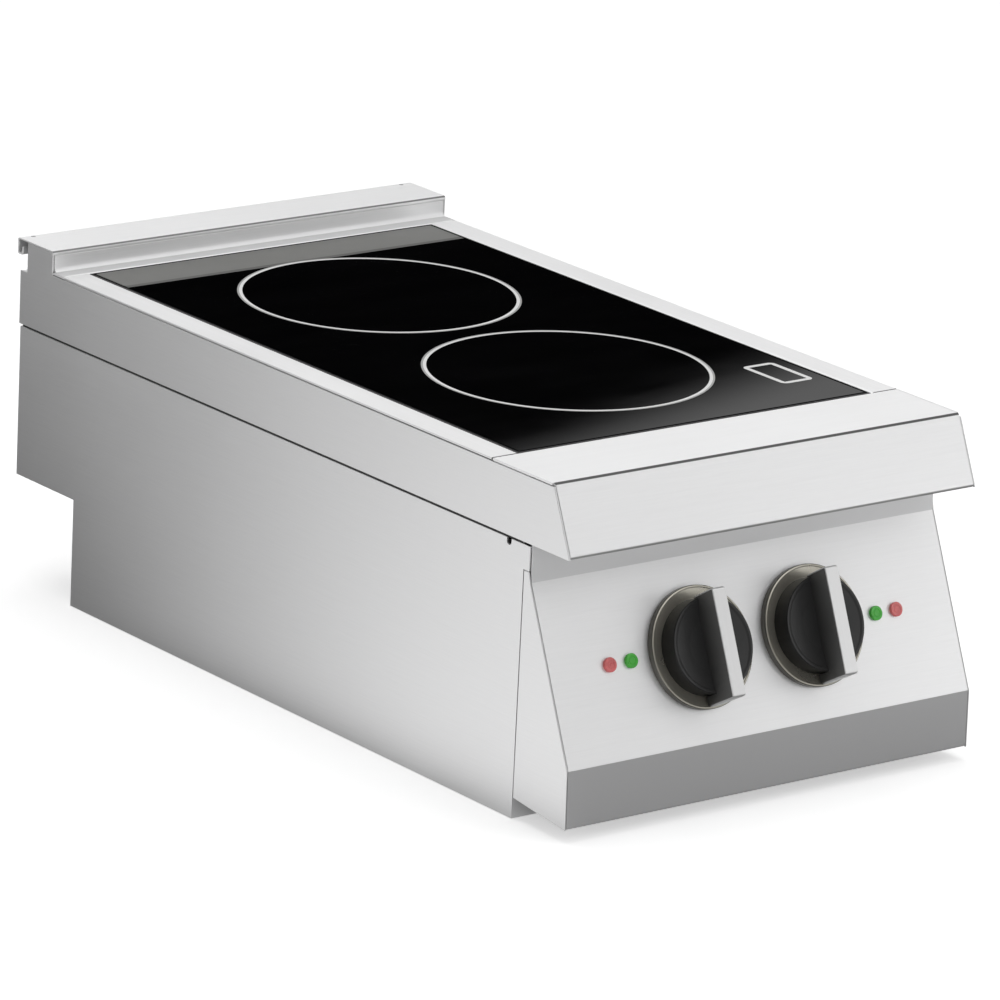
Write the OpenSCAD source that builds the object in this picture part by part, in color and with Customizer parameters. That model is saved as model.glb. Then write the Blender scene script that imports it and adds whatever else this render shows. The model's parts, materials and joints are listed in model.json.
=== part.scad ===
// Counter-top induction cooking unit: two zones one behind the other under a
// glass plate, a folded steel worktop with a low upstand, and a control box
// with two rotary knobs hung on the front.
// Origin: middle of the bounding box, on the bench. +X right, +Y back, +Z up.

/* [Overall] */
// Width over the worktop
width = 400; // [380:10:600]
// Depth from the lowest front edge of the worktop to the back of the upstand
depth = 750; // [700:10:950]
// Height of the cooking surface above the bench
worktop_h = 275; // [255:5:340]
// Rise of the upstand above the cooking surface
upstand_h = 18; // [15:1:60]

/* [Worktop] */
// Thickness of the worktop sheet
top_t = 2; // [1.5:0.5:3]
// Height of the front nosing and of the side bands
band_h = 55; // [45:1:60]
// Thickness of the side bands
band_t = 1.5; // [1:0.25:2]
// How far the top edge of the nosing is set back from its lower edge
nose_set = 24; // [10:1:35]
// Length of the front piece, from the lower front edge to the joint
nose_len = 100; // [60:1:140]
// Inward fold along the lower edge of the nosing
nose_fold = 12; // [6:1:20]
// Height of the flanges that hold the side bands
flange_h = 18; // [12:1:24]
// Fine gap at the joint lines
joint_gap = 0.4; // [0.2:0.1:0.8]
// Gap that shows as a dark line between worktop edge and side band
shadow_gap = 0.7; // [0.4:0.1:1.2]
// Inner radius of the sheet bends
bend_r = 0.8; // [0.5:0.1:1.5]
// Radius of the cove at the foot of the upstand
cove_r = 4; // [2:0.5:8]
// Width of the worktop strip on each side of the glass
rail_w = 26; // [20:1:40]
// Steel left between the front joint and the glass
front_lip = 3; // [2:0.5:10]
// Steel left between the glass and the upstand
rear_strip = 17; // [14:1:40]

/* [Upstand] */
// Depth of the upstand, from its front face to the back edge of the cap
upstand_d = 52; // [45:1:80]
// Thickness of the cap sheet
cap_t = 1.5; // [1:0.25:2]
// Short fold at the front of the cap
cap_lip = 4; // [3:0.5:6]
// Height of the hook at the back of the cap
hook_h = 14; // [10:1:14]
// Depth of the hook
hook_w = 8; // [6:0.5:10]
// Set-back of the exhaust grille from the back edge of the cap
grille_set = 15; // [13:1:20]
// Set-back of the side bands from the back edge of the cap
band_set = 5; // [3:1:8]
// Drop from the cooking surface to the top of the rear band
rear_band_drop = 9; // [6:1:14]
// Width of one exhaust slot
grille_slot_w = 4; // [3:0.5:6]
// Spacing of the exhaust slots
grille_pitch = 10; // [8:1:16]
// Radius of the two cap rivets
rivet_r = 2; // [1.5:0.25:2.25]
// Distance of the rivets from the ends of the cap
rivet_in = 12; // [10:1:30]

/* [Glass] */
// Thickness of the ceramic glass
glass_t = 6; // [4:1:8]
// Drop of the glass below the worktop
glass_drop = 0.3; // [0:0.1:0.5]
// Width of the sealing joint round the glass
seal_w = 1; // [0.5:0.25:2]
// Thickness of the sealing bed under the glass
seal_t = 1; // [0.5:0.25:2]
// Width of the ledge that carries the glass
ledge_w = 12; // [8:1:18]
// Thickness of the ledge sheet
ledge_t = 1.5; // [1:0.25:2]

/* [Body] */
// Thickness of the body sheets
body_t = 1.2; // [1:0.1:2]
// How far the body sides are set in from the worktop
body_inset = 0.5; // [0.3:0.1:1.5]
// Open joint between worktop band and body
body_gap = 1.5; // [1:0.1:2.5]
// Front of the body sides, behind the lower front edge of the worktop
body_front = 56; // [50:1:70]
// Face under the nosing, behind the lower front edge of the worktop
recess_y = 49; // [40:1:49]
// Depth of the notch at the back for pipes and cable
notch_d = 85; // [50:1:120]
// Height of the notch
notch_h = 91; // [60:1:120]
// Width of the bottom flanges
flange_w = 25; // [18:1:40]
// Radius of the fixing holes in the bottom flanges
fix_r = 4.5; // [3:0.25:6]
// Inset of the fixing holes from the outer face
fix_in = 14; // [12:1:16]
// Distance of the first fixing holes behind the body front
fix_front = 54; // [40:1:80]
// Spacing of the fixing holes along the depth
fix_pitch = 480; // [380:5:500]
// Thickness of the base plate
base_t = 1.5; // [1:0.25:2]
// Distance of the outer base screws from the ends of the base
screw_end = 30; // [20:1:36]
// Number of base screws on each side
screw_n = 3; // [2:1:5]
// Height of the front cross-member
cross_h = 50; // [30:1:80]
// Height of the strips that back the joint between worktop band and body
backing_h = 15; // [8:1:20]
// Radius of the small drain notch at the front of each side
drain_r = 2.9; // [2:0.1:4]
// Depth of the drain notch
drain_d = 5.4; // [3:0.1:8]
// Distance from the front edge of the side to the middle of the drain notch
drain_in = 19; // [4:1:30]

/* [Control box] */
// Thickness of the control panel
panel_t = 1.5; // [1:0.25:2]
// Height of the upper edge of the sloping face
panel_top_h = 190; // [175:1:200]
// Set-back of that edge from the lower front edge of the worktop
panel_top_y = 47; // [30:1:48]
// Height of the bend between sloping face and lower strip
panel_bend_h = 57; // [45:1:75]
// Reach of that bend in front of the worktop
panel_bend_reach = 9; // [0:1:20]
// Height of the lower front edge
panel_low_h = 10; // [5:1:20]
// Reach of the lower front edge
panel_low_reach = 10; // [0:1:20]
// Height of the box floor where it meets the body
panel_rear_h = 17; // [12:1:30]
// Height at which the seam between cheek and body side closes
seam_top_h = 199; // [190:1:205]

/* [Knobs] */
// Clearance of each skirt from the middle
knob_clear = 7.5; // [4:0.5:20]
// Height of the knob centres along the sloping face, from the bend
knob_s = 73; // [55:1:90]
// Width of the skirt outside the drum
skirt_rim = 10.3; // [8:0.1:11]
// Height of the skirt rim above the panel
skirt_h = 6.5; // [4:0.5:9]
// Running gap between skirt and panel
knob_gap = 0.6; // [0.4:0.1:1.5]
// Radius of the black drum
drum_r = 37.7; // [28:0.1:42]
// Height of the drum above the panel
drum_h = 20.4; // [16:0.2:26]
// Depth of the dish in the drum
dish_d = 2.4; // [1:0.2:4]
// Width of the grip bar
grip_w = 12.5; // [8:0.5:16]
// Height of the grip bar above the panel
grip_h = 39; // [30:0.5:45]
// Reach of the grip past the drum at its front face
grip_over = 3.8; // [2:0.1:5]
// Thickness of the metal face on the grip
face_t = 1.2; // [0.8:0.1:2]
// Radius of the shaft
shaft_r = 3; // [2.5:0.25:4]
// Running clearance of the shaft in its bushing
shaft_play = 0.05; // [0.02:0.01:0.1]
// Radius of the threaded bushing
bushing_r = 4.8; // [4.3:0.1:6]
// Side length of the switch body
switch_w = 40; // [30:1:50]
// Depth of the switch body
switch_d = 26; // [20:1:30]

/* [Pilot lights] */
// Gap between a skirt and the lens beside it
light_gap = 11.75; // [8:0.25:16]
// Spacing of the two lenses of a pair
light_pitch = 20.5; // [18:0.5:26]
// Radius of the lens
lens_r = 5.75; // [4:0.25:8]
// Height of the lens above the panel
lens_h = 2.6; // [1.5:0.1:4]
// Radius of the stem behind the lens
stem_r = 4.4; // [3:0.1:5]
// Length of the light behind the panel
stem_l = 14; // [10:1:20]

/* [Cooking zones] */
// Outer radius of a coil winding
coil_r = 105; // [80:1:108]
// Inner radius of a coil winding
coil_in_r = 22; // [16:1:30]
// Radius at which the winding is split
coil_split_r = 62; // [45:1:75]
// Width of the split
coil_split_w = 5; // [3:1:8]
// Height of a winding
coil_t = 5; // [4:0.5:7]
// Distance of the zone centres from the middle of the glass
zone_off = 126; // [112:1:150]
// Radius of a coil carrier
carrier_r = 110; // [90:1:111]
// Thickness of a coil carrier
carrier_t = 3; // [2:0.5:4]
// Thickness of the mica disc
mica_t = 0.8; // [0.5:0.1:1]
// Height of the ferrite bars
ferrite_t = 5; // [4:0.5:6]
// Number of ferrite bars under a coil
ferrite_n = 8; // [6:1:10]
// Radius of the temperature sensor
sensor_r = 7; // [5:0.5:9]
// Height of the posts that carry a coil
post_h = 20; // [14:1:30]
// Thickness of the coil tray
tray_t = 1.5; // [1:0.25:2]

/* [Electronics] */
// Distance of the power units from the middle
unit_x = 92; // [88:1:100]
// Side of a fan
fan_w = 92; // [80:1:100]
// Height of a fan
fan_h = 25; // [20:1:38]
// Radius of the fan bore
fan_r = 43; // [36:1:44]
// Distance of the fans behind the body front
fan_y = 74; // [60:1:110]
// Gap between blade tips and bore
blade_gap = 1.5; // [1:0.25:3]
// Radius of the fan hub
hub_r = 17; // [12:1:20]
// Number of blades
blade_n = 7; // [5:1:9]
// Radius of the fan spindle
spindle_r = 2.5; // [2:0.25:3]
// Width of a power board
board_w = 150; // [120:1:160]
// Length of a power board
board_l = 250; // [220:1:300]
// Thickness of a board
board_t = 1.6; // [1:0.2:2.4]
// Height of the board stand-offs
standoff_h = 10; // [6:1:15]
// Height of a heat sink
sink_h = 48; // [30:1:70]
// Number of heat sink fins
fin_n = 11; // [7:1:15]
// Radius of the cable gland bore
gland_r = 7; // [5:0.5:8]
// Radius of the gland shank in its hole
gland_shank_r = 10; // [9:0.5:12]
// Distance of the gland from the middle
gland_x = 130; // [100:1:150]
// Height of the gland above the bench
gland_z = 46; // [30:1:60]

/* [Hidden] */
$fn = 64;
bend_steps = 4;

// sloping face: its lower bend, its upper edge, its run and its lean from the vertical
panel_low = [-panel_bend_reach, panel_bend_h];
panel_high = [panel_top_y, panel_top_h];
panel_run = norm(panel_high - panel_low);
panel_up = (panel_high - panel_low) / panel_run;
panel_lean = atan2(panel_up[0], panel_up[1]);
knob_at = panel_low + panel_up * knob_s;
skirt_r = drum_r + skirt_rim;
knob_x = skirt_r + knob_clear;
grip_half = drum_r + grip_over;
light_in_x = knob_x + skirt_r + light_gap + lens_r;
light_out_x = light_in_x + light_pitch;
face_half = grip_half + face_t;
face_h = grip_h + face_t;
// the lower front corner of a grip is the foremost point of the unit
knob_reach = face_half * panel_up[0] + face_h * panel_up[1] - knob_at[0];
front_y = (knob_reach - depth) / 2;

cap_z = worktop_h + upstand_h;
band_z = worktop_h - band_h;
upstand_y = depth - upstand_d;
band_back = depth - band_set;
grille_y = depth - grille_set;
inner_w = width - 2 * (band_t + joint_gap);
body_w = width - 2 * body_inset;
body_in_w = body_w - 2 * body_t;
body_top = band_z - body_gap;
body_back = band_back - body_gap;
notch_y = body_back - notch_d;
glass_y0 = nose_len + front_lip;
glass_y1 = upstand_y - rear_strip;
glass_x = width / 2 - rail_w - seal_w;
glass_mid = (glass_y0 + glass_y1) / 2;
glass_bottom = worktop_h - glass_drop - glass_t;
ledge_top = glass_bottom - seal_t;
lip = worktop_h - ledge_top;
base_top = body_t + base_t;
mica_z = glass_bottom - mica_t;
coil_z = mica_z - coil_t;
carrier_z = coil_z - carrier_t;
ferrite_z = carrier_z - ferrite_t;
tray_z = carrier_z - post_h - tray_t;
zone_y = [glass_mid - zone_off, glass_mid + zone_off];
board_y = body_front + fan_y + fan_w / 2 + 12;
board_z = base_top + standoff_h;
clear_hole = 0.2;
// air between the panel and what is screwed up against its back
seat_gap = 0.02;

// ---- folded sheet: an outline that follows a path, with a round bend at each corner ----
function unit(v) = v / norm(v);
function left_of(v) = [-v[1], v[0]];
function turned(v, a) = [v[0] * cos(a) - v[1] * sin(a), v[0] * sin(a) + v[1] * cos(a)];
function bend_angle(a, b) = atan2(a[0] * b[1] - a[1] * b[0], a * b);

// points of one bend, on the path (side 0) or on the face a thickness t to its left (side 1)
function bend(p, i, t, r, side) =
    let (a = unit(p[i] - p[i - 1]), b = unit(p[i + 1] - p[i]), m = left_of(a), n = left_of(b),
        turn = bend_angle(a, b), s = sign(turn), reach = turn > 0 ? r + t : -r,
        middle = p[i] + (m + n) * reach / (1 + m * n),
        radius = turn > 0 ? r + t * (1 - side) : r + t * side)
    [for (k = [0 : bend_steps]) middle - turned(m, turn * k / bend_steps) * radius * s];

function sheet(p, t, r) =
    let (last = len(p) - 1, m = left_of(unit(p[1] - p[0])), n = left_of(unit(p[last] - p[last - 1])),
        outer = [for (i = [1 : last - 1]) for (q = bend(p, i, t, r[i - 1], 0)) q],
        inner = [for (i = [last - 1 : -1 : 1]) let (c = bend(p, i, t, r[i - 1], 1))
            for (k = [bend_steps : -1 : 0]) c[k]])
    concat([p[0]], outer, [p[last], p[last] + n * t], inner, [p[0] + m * t]);

// an outline in (depth, height), carried across the width, in the middle
module across(w) {
    translate([-w / 2, front_y, 0]) rotate([90, 0, 90]) linear_extrude(w) children();
}

// an outline in (depth, height) as a plate whose outer face is x from the middle, on one side
module side_plate(side, x, t) {
    mirror([side < 0 ? 1 : 0, 0, 0])
        translate([x - t, front_y, 0]) rotate([90, 0, 90]) linear_extrude(t) children();
}

// the frame of the sloping face: x along the panel, y up it, z out of it
module on_panel(x, s) {
    translate([x, front_y + panel_low[0] + s * panel_up[0], panel_low[1] + s * panel_up[1]])
        rotate([90 - panel_lean, 0, 0]) children();
}

// a box given by its low and high corners, measured back from the worktop's front edge
module block(low, high) {
    translate([low[0], front_y + low[1], low[2]]) cube(high - low);
}

// ---- worktop ----
module front_nosing() color("gainsboro") {
    along = [[nose_len - joint_gap, worktop_h], [nose_set, worktop_h], [0, band_z], [nose_fold, band_z]];
    across(inner_w) polygon(sheet(along, top_t, [bend_r, bend_r]));
    block([-width / 2, nose_set + top_t, worktop_h - top_t],
        [width / 2, nose_len - joint_gap, worktop_h]);
    for (side = [-1, 1]) band_flange(side, recess_y + 2 * panel_t, nose_len - joint_gap);
}

// a flange under the worktop edge, against the inside of a side band
module band_flange(side, y0, y1) {
    outer = width / 2 - band_t;
    mirror([side < 0 ? 1 : 0, 0, 0])
        block([outer - top_t, y0, worktop_h - flange_h], [outer, y1, worktop_h]);
}

module worktop_rail(side) color("gainsboro") {
    across_path = [[width / 2, worktop_h], [width / 2 - rail_w, worktop_h],
        [width / 2 - rail_w, ledge_top]];
    mirror([side < 0 ? 1 : 0, 0, 0]) translate([0, front_y + glass_y1 + seal_w, 0]) rotate([90, 0, 0])
        linear_extrude(glass_y1 + seal_w - nose_len) polygon(sheet(across_path, top_t, [bend_r]));
    band_flange(side, nose_len, glass_y1 + seal_w);
}

module worktop_rear() color("gainsboro") {
    strip_y = glass_y1 + seal_w;
    along = [[upstand_y, cap_z - cap_lip - shadow_gap], [upstand_y, worktop_h],
        [strip_y, worktop_h], [strip_y, ledge_top]];
    lip_w = 2 * (width / 2 - rail_w - top_t);
    difference() {
        across(inner_w) polygon(sheet(along, top_t, [cove_r, bend_r]));
        for (side = [-1, 1]) side_plate(side, width / 2, width / 2 - lip_w / 2)
            translate([strip_y - top_t, ledge_top - top_t])
                square([2 * top_t, worktop_h - ledge_top]);
    }
    for (side = [-1, 1]) side_plate(side, width / 2, band_t + 2 * joint_gap)
        translate([strip_y, worktop_h - top_t]) square([rear_strip - seal_w - joint_gap, top_t]);
}

module upstand_cap() color("gainsboro") {
    along = [[depth - hook_w, cap_z - hook_h / 2], [depth - hook_w, cap_z - hook_h],
        [depth, cap_z - hook_h], [depth, cap_z], [upstand_y - joint_gap, cap_z],
        [upstand_y - joint_gap, cap_z - cap_lip]];
    difference() {
        across(width) polygon(sheet(along, cap_t, [bend_r, bend_r, bend_r, bend_r]));
        rivet_pair(rivet_r, cap_z - cap_t, cap_z);
    }
}

module rivet_pair(r, z0, z1) {
    for (side = [-1, 1])
        translate([side * (width / 2 - rivet_in), front_y + depth - (hook_w + cap_t) / 2, z0])
            cylinder(r = r, h = z1 - z0);
}

module cap_rivets() color("silver") {
    head_t = 1;
    head_over = 0.5;
    rivet_pair(rivet_r, cap_z - cap_t, cap_z);
    rivet_pair(rivet_r + head_over, cap_z - cap_t - head_t, cap_z - cap_t);
}

module side_band(side) color("gainsboro") {
    edge_z = worktop_h - top_t - shadow_gap;
    edge_y = nose_set * (edge_z - band_z) / band_h;
    side_plate(side, width / 2, band_t) polygon([[0, band_z], [edge_y, edge_z],
        [upstand_y, edge_z], [upstand_y, cap_z - cap_lip], [upstand_y + cap_t, cap_z - cap_lip],
        [upstand_y + cap_t, cap_z - cap_t - joint_gap], [grille_y, cap_z - cap_t - joint_gap],
        [grille_y, worktop_h - rear_band_drop], [band_back, worktop_h - rear_band_drop],
        [band_back, band_z]]);
}

module rear_band() color("gainsboro") {
    top = worktop_h - rear_band_drop;
    across(width - 2 * band_t) polygon(sheet([[band_back, band_z], [band_back, top],
        [grille_y, top]], band_t, [bend_r]));
}

module exhaust_grille() color("silver") {
    low = worktop_h - rear_band_drop - band_t;
    high = cap_z - cap_t;
    rim = 5;
    half = width / 2 - band_t;
    slots = floor((half - 3 * rim) / grille_pitch);
    difference() {
        block([-half, grille_y - band_t, low], [half, grille_y, high]);
        for (i = [-slots : slots])
            block([i * grille_pitch - grille_slot_w / 2, grille_y - 2 * band_t, low + rim],
                [i * grille_pitch + grille_slot_w / 2, grille_y + band_t, high - rim]);
    }
}

// ---- glass and its seat ----
module ring(half_x, y0, y1, inset, z0, z1) {
    difference() {
        block([-half_x, y0, z0], [half_x, y1, z1]);
        block([-half_x + inset, y0 + inset, z0 - 1], [half_x - inset, y1 - inset, z1 + 1]);
    }
}

module glass_ledge() color("silver") {
    edge = seal_w + top_t;
    ring(glass_x + edge, glass_y0 - edge, glass_y1 + edge, edge + ledge_w,
        ledge_top - ledge_t, ledge_top);
}

module glass_seal() color("black") {
    ring(glass_x + seal_w, glass_y0 - seal_w, glass_y1 + seal_w, seal_w,
        ledge_top, worktop_h - 2 * glass_drop);
    ring(glass_x, glass_y0, glass_y1, ledge_w, ledge_top, glass_bottom);
}

module glass_plate() color("black")
    block([-glass_x, glass_y0, glass_bottom], [glass_x, glass_y1, glass_bottom + glass_t]);

// ---- body ----
module side_panel(side) color("lightgray") {
    difference() {
        union() {
            side_plate(side, body_w / 2, body_t) polygon([[body_front, 0], [body_front, seam_top_h],
                [recess_y, seam_top_h], [recess_y, body_top], [body_back, body_top],
                [body_back, notch_h], [notch_y, notch_h], [notch_y, 0]]);
            mirror([side < 0 ? 1 : 0, 0, 0])
                block([body_in_w / 2 - body_t, body_front + 2 * body_t, body_top - backing_h],
                    [body_in_w / 2, body_back - 2 * body_t, band_z + backing_h]);
        }
        translate([side * body_w / 2, front_y + body_front + drain_in, body_top])
            rotate([0, 90, 0]) linear_extrude(6 * body_t, center = true) {
                translate([drain_d - drain_r, 0]) circle(drain_r);
                translate([-2 * body_gap, -drain_r]) square([2 * body_gap + drain_d - drain_r, 2 * drain_r]);
            }
    }
    difference() {
        mirror([side < 0 ? 1 : 0, 0, 0])
            block([body_w / 2 - flange_w, body_front + 2 * body_t, 0],
                [body_w / 2 - body_t, notch_y - 2 * body_t, body_t]);
        for (i = [0, 1])
            translate([side * (body_w / 2 - fix_in), front_y + body_front + fix_front + i * fix_pitch,
                -body_t]) cylinder(r = fix_r, h = 3 * body_t);
    }
}

module rear_panel() color("lightgray") {
    top = band_z + backing_h;
    block([-body_in_w / 2, body_back - body_t, notch_h + body_t], [body_in_w / 2, body_back, body_top]);
    block([-inner_w / 2 + body_t, body_back - body_t, body_top],
        [inner_w / 2 - body_t, band_back - band_t, top]);
}

module connection_panel() color("lightgray") {
    difference() {
        across(body_in_w) polygon(sheet([[notch_y, body_t], [notch_y, notch_h],
            [body_back, notch_h]], body_t, [bend_r]));
        translate([gland_x, front_y + notch_y, gland_z]) rotate([90, 0, 0])
            cylinder(r = gland_shank_r, h = 6 * body_t, center = true);
    }
}

module base_plate() color("silver") {
    slot_w = 4;
    slot_l = 60;
    slot_pitch = 9;
    slot_n = 4;
    difference() {
        block([-body_in_w / 2, body_front + 2 * body_t, body_t],
            [body_in_w / 2, notch_y - 2 * body_t, base_top]);
        for (side = [-1, 1]) for (i = [-slot_n : slot_n])
            block([side * unit_x - slot_l / 2, body_front + fan_y + i * slot_pitch - slot_w / 2, 0],
                [side * unit_x + slot_l / 2, body_front + fan_y + i * slot_pitch + slot_w / 2,
                    2 * base_top]);
        for (side = [-1, 1]) for (i = [0, 1])
            translate([side * (body_w / 2 - fix_in), front_y + body_front + fix_front + i * fix_pitch, 0])
                cylinder(r = 2 * fix_r, h = 2 * base_top);
    }
}

module base_screws() color("silver") {
    head_r = 3.5;
    head_h = 1.6;
    first = body_front + screw_end;
    pitch = (notch_y - screw_end - first) / (screw_n - 1);
    for (side = [-1, 1]) for (i = [0 : screw_n - 1])
        translate([side * (body_w / 2 - fix_in), front_y + first + i * pitch, base_top])
            cylinder(r = head_r, h = head_h);
}

module front_crossmember() color("darkgray") {
    tab_l = 16;
    tab_z = panel_rear_h + 2 * panel_t;
    block([-body_in_w / 2, body_front, 0], [body_in_w / 2, body_front + body_t, cross_h]);
    for (side = [-1, 1]) mirror([side < 0 ? 1 : 0, 0, 0])
        block([body_in_w / 2 - body_t, body_front - tab_l, tab_z],
            [body_in_w / 2, body_front + body_t, cross_h]);
}

// ---- control box ----
module control_panel() color("gainsboro") {
    path = [[recess_y, worktop_h - top_t], panel_high, panel_low, [-panel_low_reach, panel_low_h],
        [body_front, panel_rear_h]];
    difference() {
        across(body_in_w - 2 * joint_gap) polygon(sheet(path, panel_t, [bend_r, bend_r, bend_r, bend_r]));
        for (side = [-1, 1]) {
            on_panel(side * knob_x, knob_s)
                cylinder(r = bushing_r + clear_hole, h = 6 * panel_t, center = true);
            for (x = [light_in_x, light_out_x]) on_panel(side * x, knob_s)
                cylinder(r = stem_r + clear_hole, h = 6 * panel_t, center = true);
        }
    }
}

module control_cheek(side) color("gainsboro") {
    side_plate(side, body_w / 2, body_t) polygon([[body_front - joint_gap, seam_top_h - joint_gap],
        [recess_y, seam_top_h - joint_gap], panel_high, panel_low, [-panel_low_reach, panel_low_h],
        [body_front - joint_gap, panel_rear_h]]);
}

// ---- knobs ----
seat_h = 4;
spigot_r = 30;
cavity_r = 12;
cavity_h = 6;
bore_h = 15;
slot_h = 15.5;

module knob_skirt(side) color("rosybrown") on_panel(side * knob_x, knob_s) {
    rotate_extrude($fn = 128) polygon([[spigot_r, knob_gap], [skirt_r, knob_gap],
        [skirt_r, skirt_h - 1], [skirt_r - 1.5, skirt_h], [skirt_r - 3, skirt_h - 0.5],
        [drum_r, seat_h], [spigot_r, seat_h]]);
}

module knob_drum(side) color("black") on_panel(side * knob_x, knob_s) {
    difference() {
        rotate_extrude($fn = 128) polygon([[0, bore_h], [shaft_r, bore_h], [shaft_r, cavity_h],
            [cavity_r, cavity_h], [cavity_r, knob_gap], [spigot_r, knob_gap], [spigot_r, seat_h],
            [drum_r, seat_h], [drum_r, drum_h - 1], [drum_r - 1, drum_h], [drum_r - 3, drum_h],
            [drum_r / 2, drum_h - dish_d], [0, drum_h - dish_d]]);
        translate([-grip_w / 2, -skirt_r, slot_h]) cube([grip_w, 2 * skirt_r, grip_h]);
    }
}

module knob_grip(side) color("dimgray") on_panel(side * knob_x, knob_s) {
    foot = skirt_r - 1.5 - face_t;
    translate([-grip_w / 2, 0, 0]) rotate([90, 0, 90]) linear_extrude(grip_w)
        polygon([[-foot, skirt_h], [-grip_half, grip_h], [grip_half, grip_h],
            [drum_r, slot_h], [-drum_r, slot_h], [-drum_r, skirt_h]]);
}

module knob_face(side) color("lightgray") on_panel(side * knob_x, knob_s) {
    foot = skirt_r - 1.5;
    translate([-grip_w / 2, 0, 0]) rotate([90, 0, 90]) linear_extrude(grip_w)
        polygon([[-foot, skirt_h], [-face_half, face_h], [face_half, face_h],
            [drum_r + face_t, slot_h], [drum_r, slot_h], [grip_half, grip_h],
            [-grip_half, grip_h], [-foot + face_t, skirt_h]]);
}

module knob_shaft(side) color("silver") on_panel(side * knob_x, knob_s) {
    translate([0, 0, -panel_t - switch_d / 2]) cylinder(r = shaft_r, h = bore_h + panel_t + switch_d / 2);
}

module rotary_switch(side) color("slategray") on_panel(side * knob_x, knob_s) {
    nut_h = 2;
    nut_r = 8;
    play = 1;
    difference() {
        union() {
            translate([-switch_w / 2, -switch_w / 2, -panel_t - switch_d])
                cube([switch_w, switch_w, switch_d - seat_gap]);
            translate([0, 0, -2 * panel_t])
                cylinder(r = bushing_r, h = 2 * panel_t + 2 * nut_h);
        }
        translate([0, 0, -panel_t - switch_d / 2 - play])
            cylinder(r = shaft_r + shaft_play, h = switch_d + cavity_h);
    }
    difference() {
        cylinder(r = nut_r, h = nut_h, $fn = 6);
        translate([0, 0, -nut_h]) cylinder(r = bushing_r, h = 3 * nut_h);
    }
}

// ---- pilot lights ----
module pilot_lens(x, tint) color(tint) on_panel(x, knob_s) {
    round_r = 0.8;
    translate([0, 0, -panel_t - stem_l]) cylinder(r = stem_r, h = panel_t + stem_l);
    cylinder(r = lens_r, h = lens_h - round_r);
    translate([0, 0, lens_h - round_r]) cylinder(r1 = lens_r, r2 = lens_r - round_r, h = round_r);
}

module pilot_holders() color("black") {
    clip_w = 2.4;
    clip_h = 5;
    for (side = [-1, 1]) for (x = [light_in_x, light_out_x]) on_panel(side * x, knob_s)
        translate([0, 0, -panel_t - seat_gap - clip_h]) difference() {
            cylinder(r = stem_r + clip_w, h = clip_h);
            translate([0, 0, -1]) cylinder(r = stem_r, h = clip_h + 2);
        }
}

// ---- cooking zones ----
module at_zone(i, z) {
    translate([0, front_y + zone_y[i], z]) children();
}

module tube(r_out, r_in, h) {
    difference() {
        cylinder(r = r_out, h = h);
        translate([0, 0, -1]) cylinder(r = r_in, h = h + 2);
    }
}

module coil_winding(i) color("peru") at_zone(i, coil_z) {
    tube(coil_split_r - coil_split_w / 2, coil_in_r, coil_t);
    tube(coil_r, coil_split_r + coil_split_w / 2, coil_t);
}

module coil_carrier(i) color("darkkhaki") at_zone(i, carrier_z) {
    difference() {
        tube(carrier_r, sensor_r + clear_hole, carrier_t);
        for (k = [0 : ferrite_n - 1]) rotate([0, 0, (k + 0.5) * 360 / ferrite_n])
            translate([coil_split_r, 0, -1]) cylinder(r = coil_in_r / 2, h = carrier_t + 2);
    }
}

module ferrite_bars() color("dimgray") {
    bar_w = 12;
    bar_l = coil_r - coil_in_r - 8;
    for (i = [0, 1]) at_zone(i, ferrite_z) for (k = [0 : ferrite_n - 1])
        rotate([0, 0, k * 360 / ferrite_n])
            translate([coil_in_r + 4, -bar_w / 2, 0]) cube([bar_l, bar_w, ferrite_t]);
}

module mica_discs() color("khaki") {
    for (i = [0, 1]) at_zone(i, mica_z) tube(coil_r, sensor_r + clear_hole, mica_t);
}

module zone_sensors() color("white") {
    for (i = [0, 1]) at_zone(i, ferrite_z)
        cylinder(r = sensor_r, h = glass_bottom - ferrite_z);
}

module coil_tray() color("silver") {
    flange = glass_x - 2;
    post_r = 4;
    post_n = 3;
    channel = [[-flange, ledge_top - ledge_t], [-flange, tray_z], [flange, tray_z],
        [flange, ledge_top - ledge_t]];
    translate([0, front_y + glass_y1, 0]) rotate([90, 0, 0]) linear_extrude(glass_y1 - glass_y0)
        polygon(sheet(channel, tray_t, [bend_r, bend_r]));
    for (i = [0, 1]) at_zone(i, tray_z + tray_t) for (k = [0 : post_n - 1])
        rotate([0, 0, 180 / ferrite_n + k * 360 / post_n])
            translate([carrier_r - post_r - 1, 0, 0])
            cylinder(r = post_r, h = post_h);
}

// ---- electronics ----
module power_board(side) color("darkgreen") {
    cap_r = 11;
    cap_l = 42;
    cap_n = 3;
    choke_r = 20;
    post_r = 3;
    edge = 6;
    mid_x = side * unit_x;
    block([mid_x - board_w / 2, board_y, board_z], [mid_x + board_w / 2, board_y + board_l, board_z + board_t]);
    for (x = [-1, 1]) for (y = [edge, board_l - edge])
        translate([mid_x + x * (board_w / 2 - edge), front_y + board_y + y, base_top])
            cylinder(r = post_r, h = standoff_h);
    for (i = [0 : cap_n - 1])
        translate([mid_x - side * (board_w / 2 - 2 * cap_r), front_y + board_y + 30 + 3 * i * cap_r,
            board_z + board_t]) cylinder(r = cap_r, h = cap_l);
    translate([mid_x - side * (board_w / 2 - 2 * cap_r), front_y + board_y + board_l - 2 * choke_r,
        board_z + board_t]) tube(choke_r, choke_r / 2, choke_r);
}

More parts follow.
